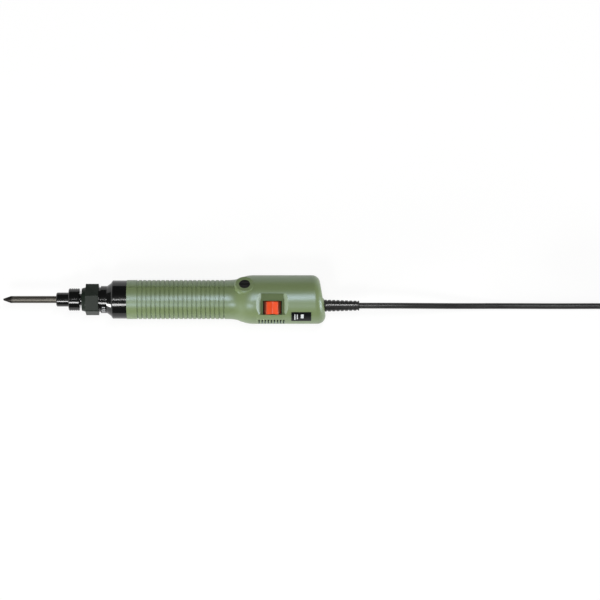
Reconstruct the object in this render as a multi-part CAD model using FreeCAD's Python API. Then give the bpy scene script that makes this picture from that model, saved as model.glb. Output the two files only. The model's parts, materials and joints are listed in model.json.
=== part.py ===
import FreeCAD, Part
import math
import os

# Corded push-start electric screwdriver, lying on a table with its axis level.
# Lengths are in millimetres and angles in degrees. While it is drawn, the tool's axis is the X axis,
# the grip's front face is at x = 0 and the bit points to -X. The last step lifts it onto the table.

# Grip and rear cover
grip_diameter = 33.2
body_diameter = 41.4
housing_wall = 2.4
grip_length = 86.0
flare_length = 22.0
cover_length = 55.5
cover_corner_radius = 7.0
cover_end_slant = 9.5
cover_end_rise = 2.7
rib_pitch = 3.85
rib_start = 8.6
rib_groove_width = 1.3
rib_groove_depth = 0.7
rib_groove_floor_width = 0.7
front_spigot_length = 7.8
front_spigot_diameter = 30.4
rear_spigot_length = 3.0
rear_spigot_wall = 2.2
seam_lean = 40.0
seam_groove_depth = 0.6
seam_groove_angle = 1.0
slip_fit = 0.05
running_fit = 0.06
free_gap = 0.3
cut_overrun = 2.0

# Vents in the rear cover's lower side
vent_count = 9
vent_pitch = 2.6
vent_width = 1.2
vent_first = 0.6
vent_reach = 1.0
vent_rise = 11.5

# Switch pocket, rocker and switch
switch_lean = -12.0
pocket_depth = 4.1
pocket_floor_length = 18.8
pocket_slope_length = 4.2
pocket_width = 18.4
pocket_from_cover_edge = 6.0
pocket_plate = 2.2
pocket_rim_wall = 2.4
rocker_length = 14.6
rocker_width = 11.0
rocker_side_shift = -3.5
rocker_end_rise = 2.3
rocker_dip = 1.3
rocker_end_slope = 2.6
rocker_end_fall = 2.6
rocker_root_length = 10.0
rocker_root_depth = 3.2
rocker_hole_gap = 0.7
rocker_side_gap = 0.35
rocker_pivot_depth = 4.0
rocker_pin_diameter = 2.0
switch_wall = 1.4
switch_depth = 9.0
switch_root_room = 1.6

# Cord entry and strain relief
entry_boss_diameter = 13.0
entry_boss_length = 3.6
entry_boss_chamfer = 0.8
cord_side_shift = -5.2
relief_length = 30.0
relief_root_diameter = 10.2
relief_tip_diameter = 8.2
relief_rib_count = 8
relief_groove_share = 0.42
relief_groove_depth = 0.9
relief_neck_diameter = 7.6
relief_flange_diameter = 11.0
relief_flange_length = 2.4

# Circuit board and cover screws
board_depth = 3.0
board_thickness = 1.6
board_length = 17.0
board_from_cover_end = 7.0
board_part_height = 5.0
board_part_height_shares = (1, 0.6)
board_part_length = 6.0
board_part_width = 8.0
screw_diameter = 3.0
screw_head_diameter = 5.6
screw_head_length = 2.2
screw_edge_gap = 2.6
screw_lean = 126.0
screw_pillar_wall = 0.8
screw_recess = 2.6
screw_slot_width = 1.0

# Nose ring, torque nut and torque spring
nose_ring_diameter = 32.6
nose_ring_length = 13.0
nose_ring_chamfer = 1.0
neck_diameter = 21.0
neck_base_diameter = 23.2
neck_root_diameter = 29.0
neck_cone_length = 4.0
neck_length = 19.0
neck_bore_diameter = 18.4
nut_across_flats = 24.2
nut_corner_diameter = 27.4
nut_length = 11.0
nut_lean = 15.0
nut_taper_length = 3.5
nut_front_diameter = 19.0
nut_shoulder_diameter = 21.0
nut_web = 1.2
nut_flange = 2.0
nut_flange_bore_diameter = 13.2
nut_engagement = 8.0
torque_travel = 1.5
seat_thickness = 1.5
seat_bore_diameter = 11.2
torque_wire_diameter = 1.6
torque_spring_diameter = 15.2
torque_spring_turns = 6
washer_thickness = 1.2

# Clutch, bearing and spindle
clutch_ball_diameter = 2.4
clutch_ball_count = 3
clutch_ball_circle_diameter = 14.4
clutch_dimple_diameter = 2.6
clutch_plate_thickness = 3.3
clutch_plate_diameter = 18.0
hub_diameter = 14.9
bearing_width = 7.0
bearing_diameter = 27.0
bearing_ring_wall = 1.8
bearing_ball_count = 12
spindle_diameter = 10.0
spindle_nose_diameter = 12.0
spindle_nose_length = 20.0
spindle_nose_chamfer = 0.8
drive_hex = 7.0
drive_hex_play = 0.2
drive_hex_length = 5.5
push_travel = 1.0
push_spring_room = 6.0
push_wire_diameter = 0.7
push_spring_turns = 4

# Chuck collar and bit
collar_diameter = 19.0
collar_length = 9.4
collar_land = 2.7
collar_release_room = 1.7
collar_cavity_diameter = 16.4
collar_relief_diameter = 14.6
collar_groove_count = 4
collar_groove_pitch = 1.7
collar_groove_width = 0.6
collar_groove_depth = 0.35
collar_edge_chamfer = 0.6
collar_gap_to_nut = 1.6
collar_wire_diameter = 0.6
collar_spring_turns = 2
clip_thickness = 0.8
clip_inset = 0.3
retaining_ball_diameter = 2.5
retaining_ball_count = 2
bit_hex = 6.35
bit_hex_play = 0.1
bit_shank_length = 25.4
bit_reach = 45.2
bit_diameter = 6.0
bit_groove_diameter = 6.6
bit_groove_width = 2.8
bit_point_length = 6.5
bit_point_diameter = 1.4
flute_width = 1.5
flute_core_share = 0.28

# Planetary gears
gear_module = 0.65
sun_teeth = 12
planet_teeth = 12
ring_teeth = 36
planet_count = 3
gear_width = 8.0
gear_addendum_share = 0.92
gear_dedendum_share = 1.2
tooth_tip_share = 0.34
tooth_root_share = 0.95
carrier_plate_thickness = 4.5
carrier_plate_diameter = 23.0
carrier_front = 11.5
planet_pin_diameter = 2.8
gear_side_gap = 0.6
ring_gear_flange = 1.2

# Motor
motor_plate_thickness = 2.0
can_wall = 1.2
can_to_brush_gap = 9.4
can_front_wall = 1.5
magnet_thickness = 2.1
magnet_overhang = 2.0
magnet_span = 130.0
air_gap = 0.5
core_end_room = 6.0
core_slots = 9
core_slot_width = 2.6
core_slot_depth = 4.2
winding_end_length = 5.0
winding_hub_diameter = 8.0
shaft_diameter = 4.0
bush_diameter = 9.0
bush_length = 4.4
commutator_diameter = 9.0
commutator_length = 10.0
commutator_bars = 9
commutator_slit = 0.5
commutator_slit_depth = 0.8
brush_frame_thickness = 3.0

# Brushes, their holders and caps
brush_from_grip_end = 14.0
brush_width = 4.4
brush_length = 7.0
brush_holder_diameter = 8.4
brush_holder_bore = 6.8
brush_holder_inner_reach = 6.2
brush_boss_diameter = 17.5
brush_boss_chamfer = 1.0
brush_boss_setback = 0.1
brush_cap_diameter = 9.4
brush_cap_depth = 2.2
brush_cap_inset = 0.3
brush_cap_slot = 1.2
brush_wire_diameter = 0.6
brush_spring_turns = 4

# Cord, its put-away coil, tie and connector
cord_diameter = 5.0
coil_layers = 4
coil_half_turns_per_layer = 3
coil_pitch = 5.45
coil_layer_rise = 5.6
coil_inner_radius = 20.0
coil_climb_step = 1.8
cord_arc_reach_share = 0.45
tie_thickness = 0.9
tie_width = 6.0
tie_corner_radius = 2.2
tie_gap = 0.3
connector_diameter = 15.6
connector_length = 18.0
connector_boot_length = 8.0
connector_boot_tip_diameter = 7.0
connector_shell_diameter = 13.2
connector_shell_length = 8.6
connector_shell_wall = 0.8
connector_pin_diameter = 1.45
connector_pin_count = 5
connector_pin_circle_diameter = 7.5
connector_pin_spread = 180.0
connector_pin_setback = 1.2
connector_grip_count = 5
connector_grip_depth = 0.5
connector_grip_width = 1.2

# Worked-out radii and stations along the axis
grip_radius = grip_diameter / 2
body_radius = body_diameter / 2
grip_inner_radius = grip_radius - housing_wall
body_inner_radius = body_radius - housing_wall
frame_radius = body_inner_radius - rear_spigot_wall - free_gap
rib_count = int((grip_length - rib_start - rib_groove_width) / rib_pitch) + 1
pocket_floor_height = body_radius - pocket_depth
brush_station = grip_length + brush_from_grip_end
brush_boss_reach = body_radius - brush_boss_setback
cover_front = grip_length + flare_length + running_fit
cover_back = cover_front + cover_length
entry_back = cover_back + entry_boss_length
neck_radius = neck_diameter / 2
neck_bore_radius = neck_bore_diameter / 2
ring_front = -nose_ring_length
neck_front = ring_front - neck_length
nut_back = neck_front + nut_engagement
nut_front = nut_back - nut_length - nut_taper_length
flange_back = nut_front + nut_flange
hub_front = -front_spigot_length - slip_fit
washer_back = hub_front - clutch_plate_thickness - clutch_ball_diameter / 2
washer_front = washer_back - washer_thickness
collar_back = nut_front - collar_gap_to_nut
collar_front = collar_back - collar_length
spindle_front = collar_back - spindle_nose_length
bit_tip = spindle_front - bit_reach
planet_front = carrier_front + carrier_plate_thickness + gear_side_gap
planet_back = planet_front + gear_width
motor_front = planet_back + gear_side_gap + ring_gear_flange
can_front = motor_front + motor_plate_thickness
can_back = brush_station - brush_holder_diameter / 2 - can_to_brush_gap
can_length = can_back - can_front
core_length = can_length - 2 * winding_end_length - 2 * core_end_room
magnet_length = core_length + 2 * magnet_overhang
planet_circle_radius = gear_module * (sun_teeth + planet_teeth) / 2
commutator_front = brush_station - commutator_length / 2
commutator_back = brush_station + commutator_length / 2
frame_front = commutator_back + free_gap
frame_back = frame_front + brush_frame_thickness
shaft_back = frame_front + bush_length + free_gap
switch_station = cover_front + pocket_from_cover_edge + pocket_floor_length / 2
axis_height = body_radius
middle_shift = -(bit_tip + entry_back) / 2
cord_exit = entry_back + relief_length

X_AXIS = FreeCAD.Vector(1, 0, 0)
ORIGIN = FreeCAD.Vector(0, 0, 0)


def point(x, y=0, z=0):
    return FreeCAD.Vector(x, y, z)


def ring(x0, x1, outer_diameter, bore_diameter=0):
    """A round piece on the tool's axis, bored through where a bore is given."""
    body = Part.makeCylinder(outer_diameter / 2, x1 - x0, point(x0), X_AXIS)
    if bore_diameter:
        body = body.cut(Part.makeCylinder(bore_diameter / 2, x1 - x0, point(x0), X_AXIS))
    return body


def turned(outline, sweep=360):
    """Turn a closed outline of (x, radius) corners about the tool's axis."""
    corners = [point(x, 0, radius) for x, radius in outline]
    wire = Part.makePolygon(corners + corners[:1])
    return Part.Face(wire).revolve(ORIGIN, X_AXIS, sweep)


def block(x0, x1, y0, y1, z0, z1):
    return Part.makeBox(x1 - x0, y1 - y0, z1 - z0, point(x0, y0, z0))


def hexagon(x0, x1, across_flats):
    corner_radius = across_flats / math.sqrt(3)
    corners = []
    for corner in range(6):
        angle = math.radians(60 * corner)
        corners.append(point(x0, corner_radius * math.sin(angle), corner_radius * math.cos(angle)))
    face = Part.Face(Part.makePolygon(corners + corners[:1]))
    return face.extrude(point(x1 - x0))


def leaned(shape, lean):
    """Turn a shape about the tool's axis, from straight up towards +Y."""
    copy = shape.copy()
    copy.rotate(ORIGIN, X_AXIS, -lean)
    return copy


def around(shape, count):
    return [leaned(shape, 360 * number / count) for number in range(count)]


def group(shapes):
    return Part.makeCompound(shapes)


def fused(shapes):
    body = shapes[0].multiFuse(shapes[1:])
    return body.removeSplitter()


def arc_edge(start, corner, end):
    """The circular arc that leaves start towards corner and arrives at end, equally far from it."""
    middle = (start + end) * 0.5
    half_chord = (end - start).Length / 2
    reach = (corner - start).Length
    crown = middle + (corner - middle) * (half_chord / (reach + half_chord))
    return Part.Arc(start, crown, end).toShape()


def biarc(p1, t1, p2, t2):
    """Two arcs that join p1 to p2 and keep both end directions."""
    gap = p2 - p1
    both = t1 + t2
    a = 2 * (1 - t1.dot(t2))
    b = 2 * gap.dot(both)
    c = -gap.dot(gap)
    reach = (-b + math.sqrt(b * b - 4 * a * c)) / (2 * a)
    corner1 = p1 + t1 * reach
    corner2 = p2 - t2 * reach
    joint = (corner1 + corner2) * 0.5
    return [arc_edge(p1, corner1, joint), arc_edge(joint, corner2, p2)]


def tube(edges, diameter):
    path = Part.Wire(edges)
    first = edges[0]
    heading = first.tangentAt(first.FirstParameter)
    start = first.valueAt(first.FirstParameter)
    section = Part.Wire(Part.makeCircle(diameter / 2, start, heading))
    return path.makePipeShell([section], True, False)


def helix_spring(x0, x1, mean_diameter, wire_diameter, turns):
    """An open coil spring along the axis, with its ends' wire inside x0 to x1."""
    radius = mean_diameter / 2
    rise = x1 - x0 - wire_diameter
    start = x0 + wire_diameter / 2
    slope = rise / (2 * math.pi * radius * turns)
    knots = []
    for half_turn in range(2 * turns + 1):
        angle = math.pi * half_turn
        place = point(start + rise * half_turn / (2 * turns), radius * math.sin(angle), radius * math.cos(angle))
        heading = point(slope, math.cos(angle), -math.sin(angle))
        knots.append((place, heading.normalize()))
    edges = []
    for (p1, t1), (p2, t2) in zip(knots, knots[1:]):
        edges += biarc(p1, t1, p2, t2)
    return tube(edges, wire_diameter)


def grip_profile(drop):
    """The grip wall's section, with its outer side lowered by drop."""
    flare_x = grip_length + flare_length / 2
    flare_end = grip_length + flare_length
    spigot_radius = front_spigot_diameter / 2
    bearing_seat = bearing_diameter / 2 + slip_fit
    rear_radius = body_inner_radius - slip_fit
    outer = [(-front_spigot_length, bearing_seat), (-front_spigot_length, spigot_radius), (0, spigot_radius)]
    crest = grip_radius - drop
    outer.append((0, crest))
    for rib in range(rib_count):
        left = rib_start + rib * rib_pitch
        slope = (rib_groove_width - rib_groove_floor_width) / 2
        outer.append((left, crest))
        outer.append((left + slope, crest - rib_groove_depth))
        outer.append((left + slope + rib_groove_floor_width, crest - rib_groove_depth))
        outer.append((left + rib_groove_width, crest))
    outer.append((grip_length, crest))
    back = [(flare_end, body_radius - drop), (flare_end, rear_radius), (flare_end + rear_spigot_length, rear_radius)]
    back.append((flare_end + rear_spigot_length, rear_radius - rear_spigot_wall))
    back.append((flare_end, rear_radius - rear_spigot_wall))
    inner = [(grip_length, grip_inner_radius), (bearing_width, grip_inner_radius), (bearing_width, bearing_seat)]
    edges = []
    for outline in (outer, back, inner + outer[:1]):
        corners = [point(x, 0, radius) for x, radius in outline]
        edges += [Part.makeLine(p, q) for p, q in zip(corners, corners[1:])]
    for start, end in ((outer[-1], back[0]), (back[-1], inner[0])):
        curve = Part.BezierCurve()
        curve.setPoles([point(start[0], 0, start[1]), point(flare_x, 0, start[1]),
                        point(flare_x, 0, end[1]), point(end[0], 0, end[1])])
        edges.append(curve.toShape())
    return Part.Face(Part.Wire(Part.__sortEdges__(edges)))


def grip_half():
    """One half of the ribbed grip, cut on the plane through the axis, with both spigots and a brush boss."""
    half = grip_profile(0).revolve(ORIGIN, X_AXIS, 180)
    edge = grip_profile(0).revolve(ORIGIN, X_AXIS, seam_groove_angle)
    groove = edge.cut(grip_profile(seam_groove_depth).revolve(ORIGIN, X_AXIS, seam_groove_angle))
    half = half.cut(groove).cut(leaned(groove, seam_groove_angle - 180))
    boss_foot = body_inner_radius - housing_wall
    near_side = block(0, cover_front, -body_diameter, 0, -body_diameter, body_diameter)
    for way in (1, -1):
        side = point(0, 0, way)
        foot = point(brush_station, 0, way * boss_foot)
        boss = Part.makeCylinder(brush_boss_diameter / 2, brush_boss_reach - boss_foot, foot, side)
        rim = [edge for edge in boss.Edges if abs(edge.CenterOfMass.z) > brush_boss_reach - slip_fit]
        half = half.fuse(boss.makeChamfer(brush_boss_chamfer, rim).common(near_side))
        hole = Part.makeCylinder(brush_holder_diameter / 2 + slip_fit, body_diameter, point(brush_station), side)
        cap_floor = brush_boss_reach - brush_cap_inset - brush_cap_depth
        cap_place = point(brush_station, 0, way * cap_floor)
        cap_seat = Part.makeCylinder(brush_cap_diameter / 2 + slip_fit, body_diameter, cap_place, side)
        half = half.cut(hole).cut(cap_seat)
    return half.removeSplitter()


def pocket_prism(floor_height, grow):
    """The switch pocket's space above floor_height, grown by a wall on its ends and sides."""
    half = pocket_floor_length / 2 + grow
    top = pocket_floor_height + body_radius - housing_wall
    slope = pocket_slope_length * (top - pocket_floor_height) / (body_radius - pocket_floor_height)
    side = pocket_width / 2 + grow
    corners = [point(switch_station - half, -side, floor_height), point(switch_station + half, -side, floor_height),
               point(switch_station + half + slope, -side, top), point(switch_station - half - slope, -side, top)]
    face = Part.Face(Part.makePolygon(corners + corners[:1]))
    return face.extrude(point(0, 2 * side))


def cover_outside():
    """A round bar whose end slants, longer on the cord's side, with its edge rounded."""
    bar = Part.makeCylinder(body_radius, cover_length + body_diameter, point(cover_front), X_AXIS)
    end_middle = cover_back + cover_end_rise
    beyond = block(end_middle, end_middle + 2 * body_diameter, -2 * body_diameter, 2 * body_diameter,
                   -2 * body_diameter, 2 * body_diameter)
    beyond.rotate(point(end_middle), point(0, 0, 1), cover_end_slant)
    bar = bar.cut(beyond)
    end_edges = [edge for edge in bar.Edges if edge.BoundBox.XMin > cover_front + slip_fit]
    return bar.makeFillet(cover_corner_radius, end_edges)


def rear_cover():
    inner_back = cover_back - housing_wall
    cover = cover_outside()
    entry = point(cover_back - housing_wall, cord_side_shift, 0)
    boss = Part.makeCylinder(entry_boss_diameter / 2, housing_wall + entry_boss_length, entry, X_AXIS)
    rim_edges = [edge for edge in boss.Edges if edge.BoundBox.XMin > entry_back - slip_fit]
    cover = cover.fuse(boss.makeChamfer(entry_boss_chamfer, rim_edges))
    wall_radius = cover_corner_radius - housing_wall
    room = turned([(cover_front, 0), (cover_front, body_inner_radius), (inner_back - wall_radius, body_inner_radius),
                   (inner_back, body_inner_radius - wall_radius), (inner_back, 0)])
    kept_wall = pocket_prism(pocket_floor_height - pocket_plate, pocket_rim_wall)
    mouth = ring(cover_front, cover_front + rear_spigot_length + free_gap, body_diameter - 2 * housing_wall)
    room = room.cut(leaned(kept_wall, switch_lean)).fuse(mouth)
    cover = cover.cut(room).cut(leaned(pocket_prism(pocket_floor_height, 0), switch_lean))
    half_length = rocker_length / 2 + rocker_hole_gap
    half_width = rocker_width / 2 + rocker_side_gap
    hole = block(switch_station - half_length, switch_station + half_length, rocker_side_shift - half_width,
                 rocker_side_shift + half_width, 0, body_radius)
    cover = cover.cut(leaned(hole, switch_lean))
    neck_hole = Part.makeCylinder(relief_neck_diameter / 2 + slip_fit, body_diameter, entry, X_AXIS)
    relief_seat = Part.makeCylinder(relief_root_diameter / 2 + free_gap, body_diameter,
                                    point(entry_back, cord_side_shift), X_AXIS)
    cover = cover.cut(neck_hole).cut(relief_seat)
    for vent in range(vent_count):
        left = cover_front + rear_spigot_length + vent_first + vent * vent_pitch
        cover = cover.cut(block(left, left + vent_width, -body_diameter, -body_inner_radius + housing_wall,
                                -vent_reach, vent_rise))
    for place in screw_places():
        shank = ring(cover_front, cover_back, screw_diameter + 2 * slip_fit)
        head = ring(cover_back - screw_recess, entry_back + cut_overrun, screw_head_diameter + 2 * slip_fit)
        pillar = ring(cover_back - 2 * housing_wall, cover_back - housing_wall,
                      screw_head_diameter + 2 * screw_pillar_wall)
        cover = cover.fuse(pillar.translated(place)).cut(shank.translated(place)).cut(head.translated(place))
    return cover.removeSplitter()


def screw_places():
    reach = Part.Vertex(0, 0, frame_radius - screw_edge_gap)
    return [leaned(reach, way * screw_lean).Point for way in (-1, 1)]


def cover_screw(place):
    head_back = cover_back - screw_recess + screw_head_length
    head = ring(cover_back - screw_recess, head_back, screw_head_diameter)
    shank = ring(frame_front, cover_back - screw_recess, screw_diameter)
    slot_half = screw_slot_width / 2
    slot = block(head_back - screw_head_length / 2, head_back, -slot_half, slot_half, -screw_head_diameter,
                 screw_head_diameter)
    screw = head.fuse(shank).cut(slot)
    return screw.translated(place)


def rocker():
    """A dished rocker with sloping ends, drawn about its pivot and set in the pocket."""
    pivot = pocket_floor_height - rocker_pivot_depth
    end = rocker_pivot_depth + rocker_end_rise
    half = rocker_length / 2
    root = rocker_root_length / 2
    crest = half - rocker_end_slope
    outline = [(-root, -rocker_root_depth), (root, -rocker_root_depth), (half, 0), (half, end - rocker_end_fall),
               (crest, end), (0, end - rocker_dip), (-crest, end), (-half, end - rocker_end_fall), (-half, 0)]
    low_side = rocker_side_shift - rocker_width / 2
    corners = [point(switch_station + x, low_side, pivot + height) for x, height in outline]
    body = Part.Face(Part.makePolygon(corners + corners[:1])).extrude(point(0, rocker_width))
    hole_radius = rocker_pin_diameter / 2 + running_fit
    hole = Part.makeCylinder(hole_radius, rocker_width, point(switch_station, low_side, pivot), point(0, 1, 0))
    return body.cut(hole)


def switch_body():
    """The open-topped switch that the rocker tips in, hung under the pocket's floor inside the round cover."""
    top = pocket_floor_height - pocket_plate - slip_fit
    half_length = rocker_length / 2 + rocker_hole_gap
    half_width = rocker_width / 2 + rocker_side_gap
    pivot = pocket_floor_height - rocker_pivot_depth
    room_floor = pivot - rocker_root_depth - switch_root_room
    case = block(switch_station - half_length - switch_wall, switch_station + half_length + switch_wall,
                 rocker_side_shift - half_width - switch_wall, rocker_side_shift + half_width + switch_wall,
                 top - switch_depth, top)
    room = block(switch_station - half_length, switch_station + half_length, rocker_side_shift - half_width,
                 rocker_side_shift + half_width, room_floor, top)
    low_side = point(switch_station, rocker_side_shift - half_width - switch_wall, pivot)
    hole = Part.makeCylinder(rocker_pin_diameter / 2 + slip_fit, 2 * (half_width + switch_wall), low_side,
                             point(0, 1, 0))
    housing_room = ring(cover_front, cover_back, 2 * (body_inner_radius - free_gap))
    return case.common(housing_room).cut(room).cut(hole)


def rocker_pin():
    pivot = pocket_floor_height - rocker_pivot_depth
    reach = rocker_width / 2 + rocker_side_gap + switch_wall
    low_side = point(switch_station, rocker_side_shift - reach, pivot)
    return Part.makeCylinder(rocker_pin_diameter / 2, 2 * reach, low_side, point(0, 1, 0))


def strain_relief():
    """A tapered sleeve with ring grooves, its neck through the entry boss and a flange inside."""
    inside = cover_back - housing_wall
    flange_front = inside - slip_fit - relief_flange_length
    neck_radius_here = relief_neck_diameter / 2
    outline = [(flange_front, 0), (flange_front, relief_flange_diameter / 2),
               (inside - slip_fit, relief_flange_diameter / 2), (inside - slip_fit, neck_radius_here),
               (entry_back + slip_fit, neck_radius_here)]
    pitch = relief_length / relief_rib_count
    for rib in range(relief_rib_count):
        left = entry_back + slip_fit + rib * pitch
        share = rib / (relief_rib_count - 1)
        radius = (relief_root_diameter + (relief_tip_diameter - relief_root_diameter) * share) / 2
        right = left + pitch * (1 - relief_groove_share)
        outline += [(left, radius), (right, radius), (right, radius - relief_groove_depth)]
        outline.append((left + pitch, radius - relief_groove_depth))
    outline[-2:] = [(cord_exit, outline[-3][1])]
    outline.append((cord_exit, 0))
    return turned(outline).translated(point(0, cord_side_shift, 0))


def circuit_board():
    back = cover_back - board_from_cover_end
    half_width = math.sqrt(body_inner_radius ** 2 - (board_depth + board_thickness) ** 2) - slip_fit
    low = -board_depth - board_thickness
    board = block(back - board_length, back, -half_width, half_width, low, -board_depth)
    for place in screw_places():
        board = board.cut(ring(back - board_length, back, screw_diameter + 2 * free_gap).translated(place))
    return board


def board_parts():
    back = cover_back - board_from_cover_end
    first = back - board_length + board_part_length / 2
    parts = []
    for place, height_share in enumerate(board_part_height_shares):
        left = first + place * (board_part_length + board_part_length / 3)
        parts.append(block(left, left + board_part_length, -board_part_width / 2, board_part_width / 2,
                           -board_depth, -board_depth + board_part_height * height_share))
    return group(parts)


def nose_ring():
    """The black front ring, with the neck that the torque nut screws along."""
    inner = front_spigot_diameter / 2 + slip_fit
    outer = nose_ring_diameter / 2
    base_front = nut_back + torque_travel + free_gap
    outline = [(neck_front, neck_bore_radius), (neck_front, neck_radius), (base_front, neck_radius),
               (base_front, neck_base_diameter / 2), (ring_front - neck_cone_length, neck_base_diameter / 2),
               (ring_front, neck_root_diameter / 2),
               (ring_front, outer - nose_ring_chamfer), (ring_front + nose_ring_chamfer, outer), (-slip_fit, outer),
               (-slip_fit, inner), (hub_front, inner), (hub_front, neck_bore_radius)]
    return turned(outline)


def torque_nut():
    """A six-sided adjusting nut with a tapered front and an inner flange that holds the spring seat."""
    bore = neck_radius + running_fit
    shoulder = nut_front + nut_taper_length
    body = hexagon(shoulder, nut_back, nut_across_flats).common(ring(shoulder, nut_back, nut_corner_diameter))
    taper = turned([(nut_front, 0), (nut_front, nut_front_diameter / 2), (shoulder, nut_shoulder_diameter / 2),
                    (shoulder, 0)])
    nut = body.fuse(taper).cut(ring(shoulder + nut_web, nut_back, 2 * bore))
    nut = nut.cut(ring(flange_back, nut_back, neck_bore_diameter))
    return nut.cut(ring(nut_front, nut_back, nut_flange_bore_diameter)).removeSplitter()


def spring_seat():
    front = flange_back + slip_fit
    return ring(front, front + seat_thickness, neck_bore_diameter - 2 * free_gap, seat_bore_diameter)


def torque_spring():
    front = flange_back + seat_thickness + 2 * slip_fit
    return helix_spring(front, washer_front - slip_fit, torque_spring_diameter, torque_wire_diameter,
                        torque_spring_turns)


def thrust_washer():
    return ring(washer_front, washer_back - slip_fit, neck_bore_diameter - 2 * slip_fit, seat_bore_diameter)


def clutch_ball_places():
    middle = hub_front - clutch_plate_thickness
    reach = clutch_ball_circle_diameter / 2
    return [leaned(Part.Vertex(middle, 0, reach), 360 * n / clutch_ball_count).Point
            for n in range(clutch_ball_count)]


def clutch_plate():
    plate = ring(hub_front - clutch_plate_thickness, hub_front - slip_fit, clutch_plate_diameter, seat_bore_diameter)
    for place in clutch_ball_places():
        plate = plate.cut(Part.makeSphere(clutch_dimple_diameter / 2, place))
    return plate


def clutch_balls():
    return group([Part.makeSphere(clutch_ball_diameter / 2, place) for place in clutch_ball_places()])


def bearing_balls():
    inner = hub_diameter / 2 + bearing_ring_wall
    outer = bearing_diameter / 2 - bearing_ring_wall
    ball = Part.makeSphere((outer - inner) / 2 - running_fit, point(0, 0, (inner + outer) / 2))
    return group(around(ball, bearing_ball_count))


def planet_carrier():
    """Hub, plate and planet pins in one piece, bored for the spindle and socketed for its drive hexagon."""
    body = ring(hub_front, carrier_front, hub_diameter)
    body = body.fuse(ring(carrier_front, carrier_front + carrier_plate_thickness, carrier_plate_diameter))
    for place in planet_places():
        pin = ring(carrier_front, planet_back, planet_pin_diameter)
        body = body.fuse(pin.translated(place))
    socket_front = drive_hex_front() + push_travel
    body = body.cut(ring(hub_front, socket_front + free_gap, spindle_diameter + 2 * running_fit))
    return body.cut(hexagon(socket_front, carrier_front, drive_hex + drive_hex_play)).removeSplitter()


def drive_hex_front():
    return carrier_front - push_spring_room - drive_hex_length


def planet_places():
    reach = point(0, 0, planet_circle_radius)
    return [leaned(Part.Vertex(reach), 360 * n / planet_count).Point for n in range(planet_count)]


def toothed_face(x, teeth, outward):
    """A gear's outline: straight-flanked teeth that point outwards, or inwards for a ring."""
    pitch_radius = gear_module * teeth / 2
    way = 1 if outward else -1
    tip = pitch_radius + way * gear_module * gear_addendum_share
    root = pitch_radius - way * gear_module * gear_dedendum_share
    tip_angle = gear_module * tooth_tip_share / tip
    root_angle = gear_module * tooth_root_share / root
    corners = []
    for tooth in range(teeth):
        middle = 2 * math.pi * tooth / teeth
        for radius, turn in ((root, -root_angle), (tip, -tip_angle), (tip, tip_angle), (root, root_angle)):
            angle = middle + turn
            corners.append(point(x, radius * math.sin(angle), radius * math.cos(angle)))
    return Part.Face(Part.makePolygon(corners + corners[:1]))


def pinion():
    front = planet_front - gear_side_gap / 2
    length = gear_width + gear_side_gap / 2
    body = toothed_face(front, sun_teeth, True).extrude(point(length))
    return body.cut(ring(front, front + length, shaft_diameter + 2 * slip_fit))


def planet_gear(place):
    """A planet with a gap between teeth towards the pinion, in mesh at rest."""
    gear = toothed_face(planet_front, planet_teeth, True).extrude(point(gear_width))
    gear = leaned(gear, 180 / planet_teeth)
    gear = gear.cut(ring(planet_front, planet_back, planet_pin_diameter + 2 * running_fit))
    return gear.translated(place)


def ring_gear():
    front = planet_front - gear_side_gap / 2
    back = motor_front - slip_fit
    body = ring(front, back, 2 * (grip_inner_radius - slip_fit))
    return body.cut(toothed_face(front, ring_teeth, False).extrude(point(back - front)))


def motor_can():
    can_diameter = 2 * (grip_inner_radius - slip_fit)
    can = ring(can_front, can_back, can_diameter)
    room = ring(can_front + can_front_wall, can_back, can_diameter - 2 * can_wall)
    return can.cut(room).cut(ring(can_front, can_back, bush_diameter + 2 * slip_fit))


def motor_middle():
    return can_front + can_length / 2


def magnets():
    outer = grip_inner_radius - slip_fit - can_wall - slip_fit
    inner = outer - magnet_thickness
    front = motor_middle() - magnet_length / 2
    outline = [(front, inner), (front + magnet_length, inner), (front + magnet_length, outer), (front, outer)]
    arc = leaned(turned(outline, magnet_span), magnet_span / 2)
    return group(around(arc, 2))


def core_radius():
    return grip_inner_radius - 2 * slip_fit - can_wall - magnet_thickness - air_gap


def armature_core():
    front = motor_middle() - core_length / 2
    back = front + core_length
    core = ring(front, back, 2 * core_radius(), shaft_diameter + 2 * slip_fit)
    half = core_slot_width / 2
    slot = block(front, back, -half, half, core_radius() - core_slot_depth, core_radius() + cut_overrun)
    return core.cut(group(around(slot, core_slots)))


def armature_winding():
    """Wire that fills the core's slots and turns over in a rounded bundle at each end."""
    front = motor_middle() - core_length / 2
    back = front + core_length
    rim = core_radius() - core_slot_depth / 4
    hub = winding_hub_diameter / 2
    slope = winding_end_length / 3
    half = core_slot_width / 2 - slip_fit
    bar = block(front - slip_fit, back + slip_fit, -half, half, core_radius() - core_slot_depth + slip_fit, rim)
    bundles = []
    for face, way in ((front - slip_fit, -1), (back + slip_fit, 1)):
        far = face + way * winding_end_length
        bundles.append(turned([(face, hub), (face, rim), (far - way * slope, rim), (far, rim - slope),
                               (far, hub + slope), (far - way * slope, hub)]))
    return fused(bundles + around(bar, core_slots))


def commutator():
    body = ring(commutator_front, commutator_back, commutator_diameter, shaft_diameter + 2 * slip_fit)
    top = commutator_diameter / 2
    slit = block(commutator_front, commutator_back, -commutator_slit / 2, commutator_slit / 2,
                 top - commutator_slit_depth, top)
    return body.cut(group(around(slit, commutator_bars)))


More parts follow.
